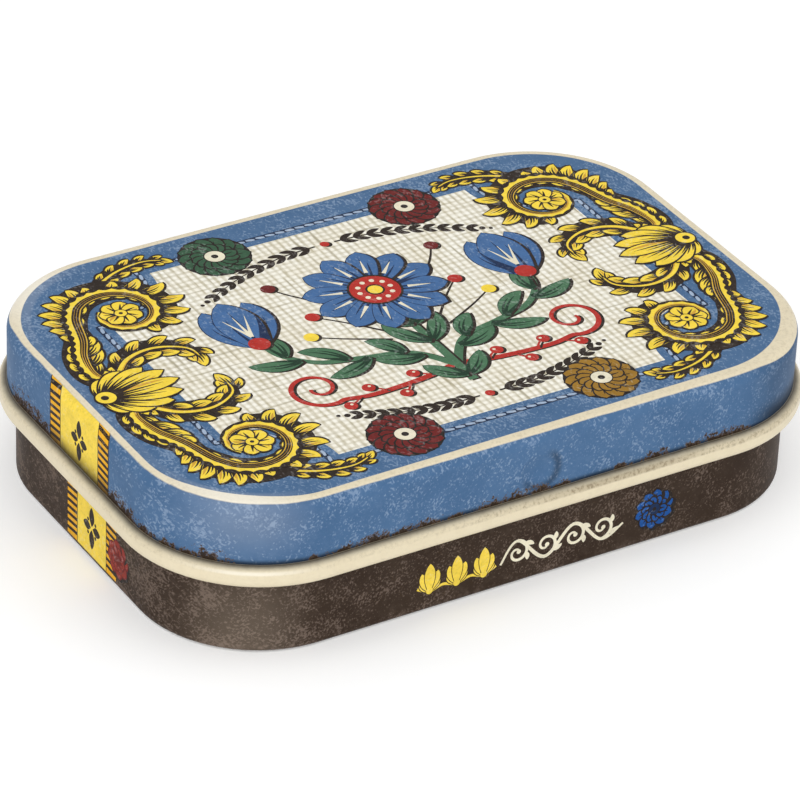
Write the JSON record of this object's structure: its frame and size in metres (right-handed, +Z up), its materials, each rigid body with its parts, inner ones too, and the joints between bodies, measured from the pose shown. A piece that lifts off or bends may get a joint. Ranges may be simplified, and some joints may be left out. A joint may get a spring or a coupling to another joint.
{
  "type": "pastille box",
  "caption": "Small flat hinged pastille tin with rounded corners: a drawn tray and a lid with a rolled lower edge that turns on tongues bent through the tray's back wall.",
  "frame": {"origin": "middle of the underside, on the surface that the tin stands on", "axes": "+X along the tin's length, -Y out of the front, +Y out of the hinge side, +Z up"},
  "size_m": [0.06, 0.0414, 0.0137],
  "materials": {
    "lid_print": "lithographed tinplate, blue with a cream edge and panel, semi-gloss and lightly distressed; bare tin inside",
    "base_print": "lithographed tinplate, dark brown, semi-gloss and speckled; bare tin inside"
  },
  "bodies": {
    "base": {"base": "base_print"},
    "lid": {"lid": "lid_print"}
  },
  "joints": [
    {"name": "lid_hinge", "type": "hinge", "parent": "base", "child": "lid", "pos_m": [0, 0.01921, 0.00626], "axis": [-1, 0, 0], "range_deg": [0, 105]}
  ]
}
